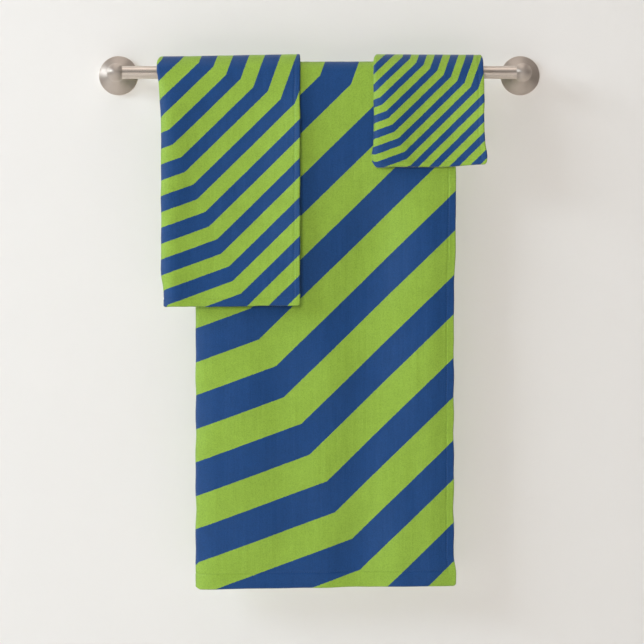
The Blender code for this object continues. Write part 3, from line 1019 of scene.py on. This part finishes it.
def make_bar():
    wall = 0.0010
    half = BAR_LENGTH / 2
    edge = 0.0003
    profile = [
        (BAR_RADIUS - wall, -half), (BAR_RADIUS - edge, -half), (BAR_RADIUS, -half + edge),
        (BAR_RADIUS, half - edge), (BAR_RADIUS - edge, half), (BAR_RADIUS - wall, half),
        (BAR_RADIUS - wall, -half),
    ]
    bar = lathe("bar_satin_tube", profile)
    shade(bar)
    bar.data.transform(Matrix.Rotation(-math.pi / 2, 4, "Z"))
    bar.data.materials.append(bpy.data.materials["bar_nickel"])
    bar.location = BAR_CENTRE
    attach(bar, "rail")
    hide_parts("bar_tube")
    return bar


def finish_fixings():
    """Materials for the CAD plates, screws and plugs, whose shapes stay."""
    zinc = brushed_metal("plate_zinc", (60.0, 60.0, 60.0), (0.60, 0.60, 0.60), (0.42, 0.42, 0.44),
                         (0.35, 0.55))
    steel = brushed_metal("screw_zinc", (300.0, 900.0, 300.0), (0.66, 0.66, 0.64),
                          (0.50, 0.50, 0.50), (0.25, 0.42))
    nylon = plastic_material()
    for name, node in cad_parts.items():
        if name.endswith("_plate"):
            dress(node, zinc)
        elif name.endswith("screw"):
            dress(node, steel)
        elif name.endswith("anchor"):
            dress(node, nylon)


def dress(node, material):
    for each in node.material_slots:
        each.link = "OBJECT"
        each.material = material


# ---- Stage, light and camera ----

CAMERA_PLACE = (0.0040, -5.0, -0.3680)
LENS = 186.9
FLOOR_LEVEL = -1.30
FLOOR_PALE = 0.75


def plane(name, size, location, rotation):
    bm = bmesh.new()
    bmesh.ops.create_grid(bm, x_segments=1, y_segments=1, size=0.5)
    mesh = mesh_from(bm, name)
    mesh.transform(Matrix.Diagonal((*size, 1.0, 1.0)))
    obj = add_object(name, mesh)
    obj.location = location
    obj.rotation_euler = rotation
    return obj


def make_stage():
    """A pale wall that can be seen through from behind, and a pale floor."""
    wall = plane("wall_backdrop", (7.0, 4.6), (0.0, WALL_PLANE + 0.0004, 0.0),
                 (math.pi / 2, 0.0, 0.0))
    n = Nodes("wall_paint")
    where = n.place()
    n.set(Base_Color=colour((0.80, 0.785, 0.755)), Roughness=0.9, Specular_IOR_Level=0.1,
          Normal=n.bump(n.noise(where, 260.0, 3.0), 0.0004, 0.15))
    see_through = n.add("ShaderNodeBsdfTransparent").outputs[0]
    behind = n.add("ShaderNodeNewGeometry").outputs["Backfacing"]
    shadow = n.add("ShaderNodeLightPath").outputs["Is Shadow Ray"]
    n.blend(n.math("MAXIMUM", behind, shadow), see_through)
    wall.data.materials.append(n.material)
    floor = plane("floor", (30.0, 30.0), (0.0, 0.0, FLOOR_LEVEL), (0.0, 0.0, 0.0))
    f = Nodes("floor_paint")
    f.set(Base_Color=colour((0.78, 0.77, 0.75)), Roughness=0.9, Specular_IOR_Level=0.1)
    pale = f.add("ShaderNodeEmission", {"Color": ROOM_TINT, "Strength": ROOM_SEEN})
    looked_at = f.add("ShaderNodeLightPath").outputs["Is Camera Ray"]
    f.blend(f.math("MULTIPLY", looked_at, FLOOR_PALE), pale.outputs[0])
    floor.data.materials.append(f.material)
    return wall


def area_light(name, place, size, power, tint):
    light = bpy.data.lights.new(name, "AREA")
    light.shape = "RECTANGLE"
    light.size, light.size_y = size
    light.energy = power
    light.color = tint
    obj = add_object(name, light)
    obj.location = place
    direction = Vector(LIT_POINT) - Vector(place)
    obj.rotation_euler = direction.to_track_quat("-Z", "Y").to_euler()
    obj.visible_camera = False
    return obj


WINDOW_TINT = (0.87, 1.0, 1.11)
PLAIN_TINT = (1.0, 1.0, 1.0)
FRONT_TINT = (1.06, 1.0, 0.965)
# Each lamp's place, its size, its power and its tint.
LIGHTS = {
    "window_left": ((-3.9, -2.6, 1.4), (2.4, 1.6), 83.0, WINDOW_TINT),
    "window_side": ((-4.6, -1.0, 0.8), (0.8, 1.8), 39.0, WINDOW_TINT),
    "overhead": ((-0.3, -1.1, 2.5), (2.4, 1.8), 16.0, (1.05, 1.0, 0.97)),
    "soft_back": ((0.9, 4.2, 1.2), (3.2, 2.4), 60.0, PLAIN_TINT),
    "side_fill": ((4.5, 0.4, -0.2), (0.8, 1.6), 22.0, PLAIN_TINT),
    "soft_front": ((-0.6, -5.0, 0.20), (1.3, 1.2), 128.0, FRONT_TINT),
}
UNREFLECTED = ("soft_front", "side_fill")
WASH_POWER = 118.0
LIT_POINT = (0.0, -0.05, -0.35)
ROOM_TINT = (1.05, 1.0, 0.965, 1.0)
ROOM_LIGHT = 0.14
ROOM_SEEN = 0.62
ROOM_SHINE = 0.42
ROOM_DIM, ROOM_CEILING, ROOM_BEHIND = 0.14, 0.50, 0.55


def make_light():
    for name, light in LIGHTS.items():
        area_light(name, *light).visible_glossy = name not in UNREFLECTED
    make_room()


def wash_wall(wall):
    """The light from the front falls on the wall without the towels' narrow hard shadow."""
    place, size, _, tint = LIGHTS["soft_front"]
    wash = area_light("wall_wash", place, size, WASH_POWER, tint)
    wash.visible_glossy = False
    only_wall, not_wall = (bpy.data.collections.new(name) for name in ("only_wall", "not_wall"))
    for group in (only_wall, not_wall):
        group.objects.link(wall)
    not_wall.collection_objects[0].light_linking.link_state = "EXCLUDE"
    wash.light_linking.receiver_collection = only_wall
    wash.light_linking.blocker_collection = only_wall
    for name in UNREFLECTED:
        bpy.data.objects[name].light_linking.receiver_collection = not_wall


def make_room():
    """Light from all round: dim at eye level, with a pale ceiling and a pale far side."""
    world = bpy.data.worlds.new("soft_room")
    world.use_nodes = True
    bpy.context.scene.world = world
    g = Graph(world.node_tree)
    where = g.add("ShaderNodeTexCoord").outputs["Generated"]
    way = g.add("ShaderNodeSeparateXYZ", {0: where}).outputs
    low = 0.5 * ROOM_DIM
    pale = [g.spread(way[axis], start, end, low, low + most, interpolation_type="SMOOTHSTEP")
            for axis, start, end, most in (("Z", 0.15, 0.75, ROOM_CEILING),
                                           ("Y", 0.0, 0.4, ROOM_BEHIND))]
    ray = g.add("ShaderNodeLightPath").outputs
    gain = g.math("MULTIPLY_ADD", ray["Is Glossy Ray"], ROOM_SHINE, ROOM_LIGHT)
    level = g.math("MULTIPLY", g.math("ADD", *pale), gain)
    background = g.tree.nodes["Background"]
    g.feed(background.inputs["Color"], ROOM_TINT)
    strength = g.math("MULTIPLY_ADD", ray["Is Camera Ray"], ROOM_SEEN, level)
    g.feed(background.inputs["Strength"], strength)


def make_camera():
    data = bpy.data.cameras.new("camera")
    data.lens = LENS
    data.sensor_width = 36.0
    camera = add_object("camera", data)
    camera.location = CAMERA_PLACE
    camera.rotation_euler = (math.pi / 2, 0.0, 0.0)
    bpy.context.scene.camera = camera


# ---- The whole ----

def main():
    bpy.context.scene.view_settings.view_transform = "Standard"
    make_camera()
    make_light()
    wash_wall(make_stage())

    label_material()
    brushed_metal("bar_nickel", (6.0, 1500.0, 1500.0), anisotropic=0.6, tangent="X")
    radial_metal("post_nickel")

    bar = make_bar()
    for side in ("left", "right"):
        make_post(side)
    finish_fixings()

    for name, spec in TOWELS.items():
        thread_material(f"{name}_thread", spec)
        towel = KINDS[name](name, spec)
        cloth = towel.build()
        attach(cloth, name)
        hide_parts(f"{name}_cloth")
        trimmings = make_seams(towel) + [make_label(towel)]


main()
